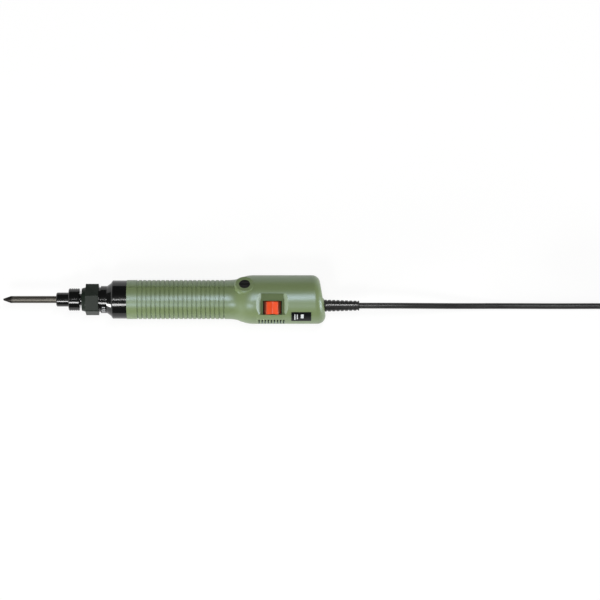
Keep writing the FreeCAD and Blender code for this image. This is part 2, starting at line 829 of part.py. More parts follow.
def brush_frame():
    """The insulating disc behind the commutator that holds the rear bush and takes the cover screws."""
    disc = ring(frame_front, frame_back, 2 * frame_radius)
    hub = ring(frame_front, frame_front + bush_length, bush_diameter + 2 * housing_wall)
    disc = disc.fuse(hub).cut(ring(frame_front, shaft_back, bush_diameter + 2 * slip_fit))
    for place in screw_places():
        disc = disc.cut(ring(frame_front, frame_back, screw_diameter + 2 * slip_fit).translated(place))
    return disc.removeSplitter()


def upright(diameter, low, high):
    """A round piece along the brush line, from low to high above the axis."""
    return Part.makeCylinder(diameter / 2, high - low, point(brush_station, 0, low))


def brush_cap_floor():
    return brush_boss_reach - brush_cap_inset - brush_cap_depth


def brush_holder():
    top = brush_cap_floor() - slip_fit
    tube_body = upright(brush_holder_diameter, brush_holder_inner_reach, top)
    return tube_body.cut(upright(brush_holder_bore, brush_holder_inner_reach, top))


def brush_low():
    return commutator_diameter / 2 + running_fit


def brush():
    half = brush_width / 2
    return block(brush_station - half, brush_station + half, -half, half, brush_low(), brush_low() + brush_length)


def brush_spring():
    low = brush_low() + brush_length + slip_fit
    spring = helix_spring(low, brush_cap_floor() - slip_fit, brush_width, brush_wire_diameter, brush_spring_turns)
    spring.rotate(ORIGIN, point(0, 1, 0), -90)
    return spring.translated(point(brush_station))


def brush_cap():
    top = brush_cap_floor() + brush_cap_depth
    cap = upright(brush_cap_diameter, brush_cap_floor(), top)
    half = brush_cap_slot / 2
    slot = block(brush_station - brush_cap_diameter, brush_station + brush_cap_diameter, -half, half,
                 top - brush_cap_depth / 2, top)
    return cap.cut(slot)


def both_sides(piece):
    return leaned(group(around(piece, 2)), seam_lean)


def ball_station():
    return collar_back - collar_release_room - collar_land / 2


def retaining_ball_reach():
    return spindle_nose_diameter / 2 - retaining_ball_diameter / 2 - slip_fit


def retaining_ball():
    return Part.makeSphere(retaining_ball_diameter / 2, point(ball_station(), 0, retaining_ball_reach()))


def spindle():
    """Output spindle: chuck nose with a hexagon socket and ball holes, shaft, and drive hexagon."""
    nose_back = spindle_front + spindle_nose_length
    nose = spindle_nose_diameter / 2
    shaft_end = drive_hex_front()
    body = turned([(spindle_front, 0), (spindle_front, nose - spindle_nose_chamfer),
                   (spindle_front + spindle_nose_chamfer, nose), (nose_back, nose), (nose_back, spindle_diameter / 2),
                   (shaft_end, spindle_diameter / 2), (shaft_end, 0)])
    body = body.fuse(hexagon(shaft_end, shaft_end + drive_hex_length, drive_hex))
    body = body.cut(hexagon(spindle_front, spindle_front + bit_shank_length + free_gap, bit_hex + 2 * bit_hex_play))
    hole = Part.makeCylinder(retaining_ball_diameter / 2 + slip_fit, spindle_nose_diameter, point(ball_station()))
    return body.cut(group(around(hole, retaining_ball_count))).removeSplitter()


def collar_land_front():
    return collar_back - collar_release_room - collar_land


def release_collar():
    """Knurled sliding sleeve: spring cavity in front, land over the balls, release room behind."""
    outer = collar_diameter / 2
    cavity = collar_cavity_diameter / 2
    land = spindle_nose_diameter / 2 + running_fit
    relief = collar_relief_diameter / 2
    land_front = collar_land_front()
    land_back = land_front + collar_land
    edge = collar_edge_chamfer
    body = turned([(collar_front, cavity), (collar_front, outer - edge), (collar_front + edge, outer),
                   (collar_back - edge, outer), (collar_back, outer - edge), (collar_back, relief), (land_back, relief),
                   (land_back, land), (land_front, land), (land_front, cavity)])
    first = (collar_length - (collar_groove_count - 1) * collar_groove_pitch - collar_groove_width) / 2
    for number in range(collar_groove_count):
        left = collar_front + first + number * collar_groove_pitch
        body = body.cut(ring(left, left + collar_groove_width, collar_diameter + cut_overrun,
                             collar_diameter - 2 * collar_groove_depth))
    return body


def clip_back():
    return collar_front + clip_inset + clip_thickness


def collar_clip():
    """A split ring on the chuck nose that stops the collar's spring."""
    front = collar_front + clip_inset
    clip = ring(front, clip_back(), collar_cavity_diameter - 2 * free_gap, spindle_nose_diameter + 2 * slip_fit)
    gap = block(front, clip_back(), -clip_thickness, clip_thickness, 0, collar_diameter)
    return clip.cut(gap)


def collar_spring():
    middle_diameter = (collar_cavity_diameter + spindle_nose_diameter) / 2
    return helix_spring(clip_back() + slip_fit, collar_land_front() - slip_fit, middle_diameter,
                        collar_wire_diameter, collar_spring_turns)


def bit():
    """A cross-point bit: grooved hexagon shank, round shaft and a fluted point."""
    shank = hexagon(spindle_front, spindle_front + bit_shank_length, bit_hex)
    half_groove = bit_groove_width / 2
    groove = ring(ball_station() - half_groove, ball_station() + half_groove, 2 * bit_hex, bit_groove_diameter)
    point_back = bit_tip + bit_point_length
    shaft = turned([(bit_tip, 0), (bit_tip, bit_point_diameter / 2), (point_back, bit_diameter / 2),
                    (spindle_front, bit_diameter / 2), (spindle_front, 0)])
    body = shank.cut(groove).fuse(shaft)
    core = bit_diameter * flute_core_share / 2
    corners = [point(bit_tip - cut_overrun, 0, core), point(bit_tip, 0, core),
               point(point_back + bit_point_length / 2, 0, bit_diameter / 2),
               point(point_back, 0, bit_diameter), point(bit_tip - cut_overrun, 0, bit_diameter)]
    flute = Part.Face(Part.makePolygon(corners + corners[:1])).extrude(point(0, flute_width, 0))
    flute = leaned(flute.translated(point(0, -flute_width / 2, 0)), 45)
    return body.cut(group(around(flute, 4))).removeSplitter()


def push_spring():
    front = drive_hex_front() + drive_hex_length
    mean_diameter = drive_hex - push_wire_diameter - 2 * free_gap
    return helix_spring(front + slip_fit, carrier_front - slip_fit, mean_diameter, push_wire_diameter,
                        push_spring_turns)


# The cord's route, chosen by hand, as places along the tool's axis and beside it, and heights above the table.
cord_route = [(222.0, -5.2, 20.7), (252.0, -5.4, 16.5), (284.0, -5.6, 8.2), (320.0, -5.5, 3.4), (363.0, -5.7, 2.7),
              (395.0, -5.6, 2.8), (408.0, -5.6, 2.8), (424.0, -9.4, 3.2), (436.0, -15.5, 3.7), (447.0, -15.5, 3.7)]
# The short tail from the coil's last turn down to the connector, as steps from where the coil ends.
tail_steps = [(0.0, 0.0, 0.0), (9.0, 0.0, 0.0), (19.0, 1.8, -3.0), (29.0, 5.6, -9.6), (39.0, 7.4, -12.6),
              (48.0, 7.4, -12.6)]


def cord_points():
    """The route's points in the drawing, where the table lies axis_height under the axis."""
    return [point(cord_exit, cord_side_shift, 0)] + [point(x, y, z - axis_height) for x, y, z in cord_route]


def rounded_path(points):
    """Straight runs joined by arcs as large as the runs allow, and the arcs' radii."""
    edges = []
    radii = []
    start = points[0]
    for before, corner, after in zip(points, points[1:], points[2:]):
        way_in = corner - before
        way_out = after - corner
        reach = cord_arc_reach_share * min(way_in.Length, way_out.Length)
        turn = way_in.getAngle(way_out)
        radii.append(reach / math.tan(turn / 2))
        arc_start = corner - way_in.normalize() * reach
        arc_end = corner + way_out.normalize() * reach
        edges += [Part.makeLine(start, arc_start), arc_edge(arc_start, corner, arc_end)]
        start = arc_end
    edges.append(Part.makeLine(start, points[-1]))
    return edges, radii


def laid_tube(name, points):
    edges, radii = rounded_path(points)
    solid = tube(edges, cord_diameter)
    length = sum(edge.Length for edge in edges)
    section = math.pi * cord_diameter ** 2 / 4
    print(name, "length", round(length, 1), "radii", [round(radius) for radius in radii],
          "volume over section times length", round(solid.Volume / (section * length), 4))
    return solid


def coil_outer_radius():
    return coil_inner_radius + coil_climb_step + coil_half_turns_per_layer * coil_pitch / 2


def coil_middle():
    return cord_points()[-1] + point(cord_diameter, coil_outer_radius(), 0)


def coil_knots():
    """The coil's places and headings at each half turn, spiralling in and out and climbing where it turns back."""
    outer_radius = coil_outer_radius()
    middle = coil_middle()
    radii = []
    for layer in range(coil_layers):
        inward = [outer_radius - coil_pitch * step / 2 for step in range(coil_half_turns_per_layer + 1)]
        inward[-1] = coil_inner_radius
        if layer > 0:
            inward[0] = outer_radius + coil_climb_step
        radii += [(radius, layer) for radius in (inward if layer % 2 == 0 else inward[::-1])]
    radii[-1] = (outer_radius, coil_layers - 1)
    radii.append((outer_radius + coil_pitch / 2, coil_layers - 1))
    knots = []
    for half_turn, (radius, layer) in enumerate(radii):
        way = 1 if half_turn % 2 == 0 else -1
        place = middle + point(0, -way * radius, layer * coil_layer_rise)
        knots.append((place, point(way)))
    return knots


def least_self_gap(edges):
    """The least gap between two turns, measured on points that lie over half a turn apart along the cord."""
    samples = []
    along = 0
    for edge in edges:
        spots = edge.discretize(9)
        for number, spot in enumerate(spots[:-1]):
            samples.append((along + edge.Length * number / 8, spot))
        along += edge.Length
    apart = math.pi * coil_inner_radius
    nearest = min((p - q).Length for i, (s, p) in enumerate(samples) for t, q in samples[:i] if s - t > apart)
    return nearest - cord_diameter


def coil_edges():
    knots = coil_knots()
    lead = point(cord_diameter)
    edges = [Part.makeLine(knots[0][0] - lead, knots[0][0])]
    for (p1, t1), (p2, t2) in zip(knots, knots[1:]):
        edges += biarc(p1, t1, p2, t2)
    edges.append(Part.makeLine(knots[-1][0], knots[-1][0] + lead))
    return edges


def cord_coil():
    edges = coil_edges()
    length = sum(edge.Length for edge in edges)
    print("cord_coil length", round(length, 1), "least gap to itself", round(least_self_gap(edges), 2))
    return tube(edges, cord_diameter)


def cord_tie():
    """A flat band round the coil's bundle, on the side away from where the cord comes in."""
    middle = coil_middle()
    radii = [place.y - middle.y for place, heading in coil_knots() if place.y > middle.y]
    clear_radius = min(radii) - cord_diameter / 2 - tie_gap
    low = math.sqrt(clear_radius ** 2 - (tie_width / 2) ** 2)
    high = max(radii) + cord_diameter / 2 + tie_gap
    floor = -axis_height + tie_thickness
    top = floor + 2 * tie_gap + cord_diameter + (coil_layers - 1) * coil_layer_rise
    left = middle.x - tie_width / 2
    right = left + tie_width
    inside = block(left, right, middle.y + low, middle.y + high, floor, top)
    outside = block(left, right, middle.y + low - tie_thickness, middle.y + high + tie_thickness,
                    floor - tie_thickness, top + tie_thickness)
    long_edges = [edge for edge in outside.Edges if edge.BoundBox.XLength > tie_width / 2]
    return outside.makeFillet(tie_corner_radius, long_edges).cut(inside)


def tail_points():
    start = coil_knots()[-1][0] + point(cord_diameter)
    return [start + point(*step) for step in tail_steps]


def connector():
    """A round plug with a tapered boot, grip rings and a thin metal shell."""
    place = tail_points()[-1]
    body = connector_diameter / 2
    boot_back = connector_boot_length
    back = boot_back + connector_length
    outline = [(slip_fit, 0), (slip_fit, connector_boot_tip_diameter / 2), (boot_back, body - connector_grip_depth),
               (boot_back, body)]
    for grip in range(connector_grip_count):
        left = boot_back + connector_length * (grip + 1) / (connector_grip_count + 2)
        outline += [(left, body), (left, body - connector_grip_depth)]
        outline += [(left + connector_grip_width, body - connector_grip_depth), (left + connector_grip_width, body)]
    outline += [(back, body), (back, 0)]
    return turned(outline).translated(place)


def connector_shell():
    back = connector_boot_length + connector_length + slip_fit
    bore = connector_shell_diameter - 2 * connector_shell_wall
    shell = ring(back, back + connector_shell_length, connector_shell_diameter, bore)
    return shell.translated(tail_points()[-1])


def connector_pins():
    front = connector_boot_length + connector_length + slip_fit
    back = front + connector_shell_length - connector_pin_setback
    pins = []
    for number in range(connector_pin_count):
        lean = connector_pin_spread * (number / (connector_pin_count - 1) - 0.5)
        pin = ring(front, back, connector_pin_diameter)
        pins.append(leaned(pin.translated(point(0, 0, connector_pin_circle_diameter / 2)), lean))
    return group(pins).translated(tail_points()[-1])


def motor_shaft():
    return ring(planet_front - gear_side_gap / 2, shaft_back, shaft_diameter)


def motor_bush(front):
    return ring(front, front + bush_length, bush_diameter, shaft_diameter + 2 * running_fit)


def motor_plate():
    bore = gear_module * (sun_teeth + 2)
    return ring(motor_front, can_front - slip_fit, 2 * (grip_inner_radius - slip_fit), bore)


def bearing_ring(outer_diameter, bore_diameter):
    return ring(-bearing_width / 2, bearing_width / 2, outer_diameter, bore_diameter)


near_half = grip_half()
nodes = {
    "bit": bit(),
    "spindle": spindle(),
    "release_collar": release_collar(),
    "collar_spring": collar_spring(),
    "collar_clip": collar_clip(),
    "retaining_balls": group(around(retaining_ball(), retaining_ball_count)),
    "torque_nut": leaned(torque_nut(), nut_lean),
    "spring_seat": spring_seat(),
    "torque_spring": torque_spring(),
    "thrust_washer": thrust_washer(),
    "nose_ring": nose_ring(),
    "clutch_plate": clutch_plate(),
    "clutch_balls": clutch_balls(),
    "bearing_outer_ring": bearing_ring(bearing_diameter, bearing_diameter - 2 * bearing_ring_wall),
    "bearing_inner_ring": bearing_ring(hub_diameter + 2 * bearing_ring_wall, hub_diameter + 2 * slip_fit),
    "bearing_balls": bearing_balls(),
    "planet_carrier": planet_carrier(),
    "push_spring": push_spring(),
    "ring_gear": ring_gear(),
    "pinion": pinion(),
    "motor_plate": motor_plate(),
    "motor_can": motor_can(),
    "magnets": magnets(),
    "armature_core": armature_core(),
    "armature_winding": armature_winding(),
    "commutator": commutator(),
    "motor_shaft": motor_shaft(),
    "front_motor_bush": motor_bush(can_front),
    "rear_motor_bush": motor_bush(frame_front),
    "brush_frame": brush_frame(),
    "brush_holders": both_sides(brush_holder()),
    "brushes": both_sides(brush()),
    "brush_springs": both_sides(brush_spring()),
    "brush_caps": both_sides(brush_cap()),
    "grip_shell_near": leaned(near_half, seam_lean),
    "grip_shell_far": leaned(near_half, seam_lean + 180),
    "rear_cover": rear_cover(),
    "cover_screws": group([cover_screw(place) for place in screw_places()]),
    "rocker": leaned(rocker(), switch_lean),
    "rocker_pin": leaned(rocker_pin(), switch_lean),
    "switch_body": leaned(switch_body(), switch_lean),
    "circuit_board": circuit_board(),
    "board_parts": board_parts(),
    "strain_relief": strain_relief(),
    "power_cord": laid_tube("power_cord", cord_points()),
    "cord_coil": cord_coil(),
    "cord_tie": cord_tie(),
    "cord_tail": laid_tube("cord_tail", tail_points()),
    "connector": connector(),
    "connector_shell": connector_shell(),
    "connector_pins": connector_pins(),
}
for number, place in enumerate(planet_places(), 1):
    nodes["planet_gear_" + str(number)] = planet_gear(place)

os.makedirs("parts", exist_ok=True)
for name, shape in nodes.items():
    shape.translated(point(middle_shift, 0, axis_height)).exportStep("parts/" + name + ".step")
print(len(nodes), "pieces, bit tip to cord entry", round(entry_back - bit_tip, 1), "mm")
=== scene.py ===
# %% [markdown]
# A corded electric screwdriver lies on a white bench, seen from straight above. Its rigid pieces come in as a fixed
# frame of named nodes. This lesson gives them their finishes, and models the soft and thin pieces that only show
# here: the lead, its strain relief, the tie round the coil, the label plate and the painted marks. Three springs get
# copies of their own.

# %% Load the tool
import bpy
import json
import math
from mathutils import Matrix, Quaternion, Vector

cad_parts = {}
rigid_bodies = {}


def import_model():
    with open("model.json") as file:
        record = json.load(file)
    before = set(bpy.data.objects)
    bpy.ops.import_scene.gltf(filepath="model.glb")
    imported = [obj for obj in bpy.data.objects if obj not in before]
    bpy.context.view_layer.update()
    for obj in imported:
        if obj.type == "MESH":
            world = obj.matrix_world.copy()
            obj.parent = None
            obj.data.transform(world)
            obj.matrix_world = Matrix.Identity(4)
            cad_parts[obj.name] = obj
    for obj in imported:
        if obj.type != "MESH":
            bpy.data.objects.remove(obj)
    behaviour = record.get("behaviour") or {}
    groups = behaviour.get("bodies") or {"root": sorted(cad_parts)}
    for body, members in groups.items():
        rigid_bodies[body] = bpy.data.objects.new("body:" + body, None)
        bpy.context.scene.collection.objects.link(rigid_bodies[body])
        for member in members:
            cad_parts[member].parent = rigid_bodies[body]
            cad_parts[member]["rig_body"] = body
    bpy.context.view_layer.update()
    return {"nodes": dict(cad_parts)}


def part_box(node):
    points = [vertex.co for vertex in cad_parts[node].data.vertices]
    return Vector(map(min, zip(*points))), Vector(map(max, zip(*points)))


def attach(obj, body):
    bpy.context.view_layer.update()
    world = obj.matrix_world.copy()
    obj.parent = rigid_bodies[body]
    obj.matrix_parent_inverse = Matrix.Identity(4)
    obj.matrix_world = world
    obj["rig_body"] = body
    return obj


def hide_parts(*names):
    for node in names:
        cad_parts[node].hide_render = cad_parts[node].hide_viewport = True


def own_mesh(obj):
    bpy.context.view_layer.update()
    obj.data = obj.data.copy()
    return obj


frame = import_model()
nodes = frame["nodes"]
MM = 0.001
weld_reach = 0.002 * MM
axis_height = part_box("rear_cover")[1].z / 2
print("loaded", len(nodes), "nodes, axis", round(axis_height / MM, 2), "mm above the bench")

# %% [markdown]
# The camera looks straight down from far away, so that the tool is drawn almost without perspective. Its lens is
# worked out from the size of one picture element on the tool's axis. A long lens could be swapped for an
# orthographic camera, but a real one keeps the small change in size between the grip's top and its sides.

# %% Camera
PICTURE_ELEMENTS = 600
element_size = 0.85 * MM
view_middle = Vector((115.9, -0.4)) * MM
camera_height = 2.6
bpy.ops.object.camera_add(location=(view_middle.x, view_middle.y, camera_height), rotation=(0, 0, 0))
camera = bpy.context.object
camera.name = "bench_camera"
camera.data.lens = camera.data.sensor_width * (camera_height - axis_height) / (PICTURE_ELEMENTS * element_size)
camera.data.clip_end = 20.0
bpy.context.scene.camera = camera
print("lens", round(camera.data.lens, 1), "mm")

# %% [markdown]
# Colours are written as sRGB hex values, as a paint chart gives them, and one function makes them linear. A second
# small function adds any node with its settings and links, so that each finish below reads as a short recipe.

# %% Helpers for finishes
def linear(hex_colour):
    """The linear colour of an sRGB hex value such as #6E7F54."""
    shares = [int(hex_colour[place:place + 2], 16) / 255 for place in (1, 3, 5)]
    return [s / 12.92 if s <= 0.04045 else ((s + 0.055) / 1.055) ** 2.4 for s in shares] + [1.0]


def add_node(material, kind, inputs=None, **settings):
    """Add a node, set it up, and link or fill its sockets."""
    tree = material.node_tree
    node = tree.nodes.new(kind)
    for name, value in settings.items():
        setattr(node, name, value)
    for socket, value in (inputs or {}).items():
        if isinstance(value, bpy.types.NodeSocket):
            tree.links.new(value, node.inputs[socket])
        else:
            node.inputs[socket].default_value = value
    return node


def new_finish(name, colour, roughness, **sockets):
    """A Principled material; sockets are named as in the shader, with _ for a space."""
    material = bpy.data.materials.new(name)
    material.use_nodes = True
    shader = material.node_tree.nodes["Principled BSDF"]
    shader.inputs["Base Color"].default_value = linear(colour)
    shader.inputs["Roughness"].default_value = roughness
    for socket, value in sockets.items():
        shader.inputs[socket.replace("_", " ")].default_value = value
    return material


def feed(material, output, socket):
    shader = material.node_tree.nodes["Principled BSDF"]
    material.node_tree.links.new(output, shader.inputs[socket])


def mottle(material, size, stretch=(1, 1, 1), detail=2.0):
    """Noise whose blots are about size across, in metres, stretched along the axes."""
    place = add_node(material, "ShaderNodeTexCoord")
    squeezed = add_node(material, "ShaderNodeMapping", {"Vector": place.outputs["Object"],
                                                        "Scale": [1 / s for s in stretch]})
    noise = add_node(material, "ShaderNodeTexNoise", {"Vector": squeezed.outputs["Vector"], "Scale": 1 / size,
                                                      "Detail": detail})
    return noise.outputs["Fac"]


def ringed(material, pitch, direction="X"):
    """Turning marks: waves of that pitch along the tool's axis, or along another."""
    place = add_node(material, "ShaderNodeTexCoord")
    wave = add_node(material, "ShaderNodeTexWave", {"Vector": place.outputs["Object"], "Detail": 1.0,
                                                    "Scale": 2 * math.pi / (20 * pitch), "Distortion": 0.6},
                    bands_direction=direction)
    return wave.outputs["Fac"]


def spread(material, pattern, low, high):
    """A pattern of 0 to 1 brought to lie between low and high."""
    span = add_node(material, "ShaderNodeMapRange", {"Value": pattern, "To Min": low, "To Max": high})
    return span.outputs["Result"]


def tinted(material, pattern, first, second):
    """Two colours mixed by a pattern; each is a hex value or another node's colour."""
    ends = [linear(colour) if isinstance(colour, str) else colour for colour in (first, second)]
    mix = add_node(material, "ShaderNodeMix", {0: pattern, 6: ends[0], 7: ends[1]}, data_type="RGBA")
    return mix.outputs[2]


def roughen(material, pattern, depth, strength=1.0):
    """Let a pattern raise the surface by depth, in metres."""
    bump = add_node(material, "ShaderNodeBump", {"Height": pattern, "Distance": depth, "Strength": strength})
    feed(material, bump.outputs["Normal"], "Normal")


def dress(material, *names):
    for name in names:
        nodes[name].data.materials.clear()
        nodes[name].data.materials.append(material)
    print(material.name, "on", ", ".join(names))


# %% [markdown]
# The housing is ABS, moulded in a tool with an etched, satin surface. That gives a broad, soft highlight instead of
# a mirror, and a faint grain. The real grain is about 0.1 mm; here it is drawn at 0.6 mm so that it shows. Large pale
# blots stand for handling: they change the colour and the gloss by a little. A painted picture could do the same, but
# it would need a UV map and would show seams, so noise on Object coordinates is used.

# %% Housing finish
handling_blot = 22 * MM
etched_grain = 0.6 * MM
grain_depth = 0.02 * MM


def satin_abs(name):
    material = new_finish(name, "#6C7B52", 0.36, IOR=1.68, Specular_Tint=linear("#D2E6FF"))
    blots = mottle(material, handling_blot, (2, 1, 1), 3.0)
    feed(material, tinted(material, blots, "#66754C", "#738259"), "Base Color")
    feed(material, spread(material, blots, 0.32, 0.4), "Roughness")
    roughen(material, mottle(material, etched_grain), grain_depth)
    return material


dress(satin_abs("satin_green_abs"), "grip_shell_near", "grip_shell_far")

# %% [markdown]
# The cover is the same ABS. The floor of its switch pocket is painted darker than the outside, as painted shade in
# the recess, and its reflection is turned down. The floor's faces could be given a second material, but a frame node's
# mesh is left as it came, so a mask does it. The floor is flat and leans a little: a Mapping node turns the
# coordinates into the pocket's own, and a flat box round the floor's middle picks it out.

# %% Cover finish
pocket_lean = math.radians(-12)
pocket_depth = 4.1 * MM
pocket_half_sizes = {"X": 13.6 * MM, "Y": 9.4 * MM, "Z": 0.2 * MM}


def pocket_shaded_abs():
    material = satin_abs("satin_green_abs_pocket_shade")
    shader = material.node_tree.nodes["Principled BSDF"]
    low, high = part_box("rocker")
    height = axis_height - pocket_depth
    middle = ((low.x + high.x) / 2, math.sin(pocket_lean) * height, axis_height + math.cos(pocket_lean) * height)
    place = add_node(material, "ShaderNodeTexCoord")
    in_pocket = add_node(material, "ShaderNodeMapping", {"Vector": place.outputs["Object"], "Location": middle,
                                                         "Rotation": (-pocket_lean, 0, 0)}, vector_type="TEXTURE")
    apart = add_node(material, "ShaderNodeSeparateXYZ", {"Vector": in_pocket.outputs["Vector"]})
    floor_shade = 1.0
    for axis, half_size in pocket_half_sizes.items():
        near = add_node(material, "ShaderNodeMath", {0: apart.outputs[axis], 1: 0.0, 2: half_size},
                        operation="COMPARE")
        floor_shade = add_node(material, "ShaderNodeMath", {0: near.outputs[0], 1: floor_shade}, operation="MULTIPLY").outputs[0]
    outside = shader.inputs["Base Color"].links[0].from_socket
    # Painted shade: the mask darkens the pocket floor's colour to #58663F.
    feed(material, tinted(material, floor_shade, outside, "#58663F"), "Base Color")
    feed(material, spread(material, floor_shade, 0.5, 0.12), "Specular IOR Level")
    return material


dress(pocket_shaded_abs(), "rear_cover")

# %% [markdown]
# The nose ring, torque nut, collar and spindle are steel, turned or milled, with a black oxide bath and oil. The oxide
# is a thin glassy skin, so it mirrors the lamps in a narrow white line and is nearly black elsewhere. A dark metal
# would tint that line; a black base under a clear reflection keeps it white. The nut's flat faces are duller, so that
# they don't flash. Fine tool marks run round all of them. Their real pitch is about 0.1 mm; they are drawn at 0.9 and
# 1.6 mm so that they show.

# %% Black oxide steel
oxide_wear_blot = 9 * MM
oxide_mark_depth = 0.0015 * MM


def black_oxide(name, colour, worn, roughness, ior, pitch):
    material = new_finish(name, colour, roughness, IOR=ior)
    wear = mottle(material, oxide_wear_blot, (3, 1, 1))
    feed(material, tinted(material, wear, colour, worn), "Base Color")
    feed(material, spread(material, wear, roughness - 0.03, roughness + 0.04), "Roughness")
    roughen(material, ringed(material, pitch), oxide_mark_depth)
    return material


dress(black_oxide("black_oxide_turned", "#040404", "#0C0D0D", 0.11, 1.5, 0.9 * MM), "nose_ring", "release_collar",
      "spindle")
dress(black_oxide("black_oxide_milled", "#151C16", "#202721", 0.36, 1.22, 1.6 * MM), "torque_nut")

# %% [markdown]
# The bit is hardened tool steel, ground along its length and left with a brown-grey phosphate skin. The point is
# darker, because it was milled after grinding. Anisotropic shading would give the long gleam of grinding but no change
# of colour, so streaks along X come from noise stretched forty times. Ground lines are finer than 0.1 mm; the streaks
# are drawn at 0.8 mm so that they show.

# %% Bit steel
ground_streak = 0.8 * MM
milled_end = 6 * MM
ground_start = 9 * MM


def phosphated_bit():
    material = new_finish("phosphated_tool_steel", "#55514A", 0.34, Metallic=0.75)
    streaks = mottle(material, ground_streak, (40, 1, 1))
    place = add_node(material, "ShaderNodeTexCoord")
    along = add_node(material, "ShaderNodeSeparateXYZ", {"Vector": place.outputs["Object"]})
    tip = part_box("bit")[0].x
    body = add_node(material, "ShaderNodeMapRange", {"Value": along.outputs["X"], "From Min": tip + milled_end,
                                                     "From Max": tip + ground_start},
                    interpolation_type="SMOOTHSTEP")
    steel = tinted(material, streaks, "#423F3A", "#5E5B54")
    feed(material, tinted(material, body.outputs["Result"], "#2B2825", steel), "Base Color")
    feed(material, spread(material, streaks, 0.28, 0.44), "Roughness")
    return material


dress(phosphated_bit(), "bit")

# %% [markdown]
# The CAD solids of the rocker and the torque nut have sharp edges, which no moulding and no milled piece has. They
# could be bevelled in edit mode, but a node's own mesh stays as it is, so a weld and a small bevel are put on it as
# modifiers.

# %% Rounded edges
def round_edges(name, width, segments=3):
    """Round a node's sharp edges without touching its mesh."""
    piece = nodes[name]
    weld = piece.modifiers.new("weld", "WELD")
    weld.merge_threshold = weld_reach
    bevel = piece.modifiers.new("rounded_edges", "BEVEL")
    bevel.width = width
    bevel.segments = segments
    bevel.limit_method = "ANGLE"
    bevel.angle_limit = math.radians(25)
    bevel.harden_normals = False
    print("rounded", name, round(width / MM, 2), "mm")


round_edges("rocker", width=0.45 * MM)
round_edges("torque_nut", width=0.22 * MM, segments=2)

# %% [markdown]
# The rocker is glossy orange-red plastic with a little depth to its colour, so light enters it and softens its
# edges. A clear coat would only add shine, so a hint of subsurface scattering does that. Its two sloping ends are
# painted darker by their distance from the rocker's middle: painted shade on the ends that lie in the pocket's shade.

# %% Rocker
thumb_blot = 3 * MM
# Where the painted shade on the rocker's ends begins and where it is full.
shade_start_reach = 3.9 * MM
full_shade_reach = 6.0 * MM


def rocker_plastic():
    material = new_finish("orange_gloss_plastic", "#C93E19", 0.2, IOR=1.46, Subsurface_Weight=0.08,
                          Subsurface_Scale=1.2 * MM)
    touch = mottle(material, thumb_blot)
    low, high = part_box("rocker")
    place = add_node(material, "ShaderNodeTexCoord")
    along = add_node(material, "ShaderNodeSeparateXYZ", {"Vector": place.outputs["Object"]})
    off_middle = add_node(material, "ShaderNodeMath", {0: along.outputs["X"], 1: (low.x + high.x) / 2},
                          operation="SUBTRACT")
    reach = add_node(material, "ShaderNodeMath", {0: off_middle.outputs[0]}, operation="ABSOLUTE")
    end_shade = add_node(material, "ShaderNodeMapRange", {"Value": reach.outputs[0], "From Min": shade_start_reach,
                                                      "From Max": full_shade_reach}, interpolation_type="SMOOTHSTEP")
    plastic = tinted(material, touch, "#D04721", "#DC512B")
    # Painted shade: the rocker's sloping ends are darkened towards #5C2413.
    feed(material, tinted(material, end_shade.outputs["Result"], plastic, "#5C2413"), "Base Color")
    feed(material, spread(material, touch, 0.17, 0.24), "Roughness")
    return material


dress(rocker_plastic(), "rocker")

# %% [markdown]
# Brush caps, the plug and the inner mouldings are black phenolic or nylon, moulded and left as they came out of the
# tool. The eye gets a dull black with a trace of flow lines, about 2.5 mm wide. Each piece could have its own recipe,
# but most of them are out of sight, so one with a colour and a roughness serves both plastics.

# %% Black mouldings
flow_line = 2.5 * MM
flow_depth = 0.01 * MM


def black_moulding(name, colour, roughness):
    material = new_finish(name, colour, roughness, IOR=1.4)
    flow = mottle(material, flow_line, (3, 1, 1), 3.0)
    feed(material, tinted(material, flow, colour, "#161717"), "Base Color")
    feed(material, spread(material, flow, roughness - 0.05, roughness + 0.07), "Roughness")
    roughen(material, flow, flow_depth)
    return material


dress(black_moulding("black_phenolic", "#050505", 0.38), "brush_caps", "brush_frame")
dress(black_moulding("black_nylon", "#101111", 0.46), "switch_body", "connector", "board_parts")

# %% [markdown]
# Inside, the gears, bearing, shafts and springs are bare steel, the bushes, holders and pins are brass, and the
# armature carries enamelled copper. To the eye they differ in colour and gloss, and in the marks of how they were made:
# turning rings, drawn wire, wound turns, stacked sheets. One recipe draws all of these as rings along the tool's axis.
# Where the real marks are finer than 0.1 mm, as on turned and plated pieces, they are drawn coarser so that they show.

# %% Bare metals
metal_stain = 4 * MM
metal_mark_depth = 0.003 * MM


def turned_metal(name, dark, light, roughness, pitch):
    material = new_finish(name, light, roughness, Metallic=1.0)
    rings = ringed(material, pitch)
    feed(material, tinted(material, rings, dark, light), "Base Color")
    feed(material, spread(material, mottle(material, metal_stain), roughness - 0.06, roughness + 0.1), "Roughness")
    roughen(material, rings, metal_mark_depth)
    return material


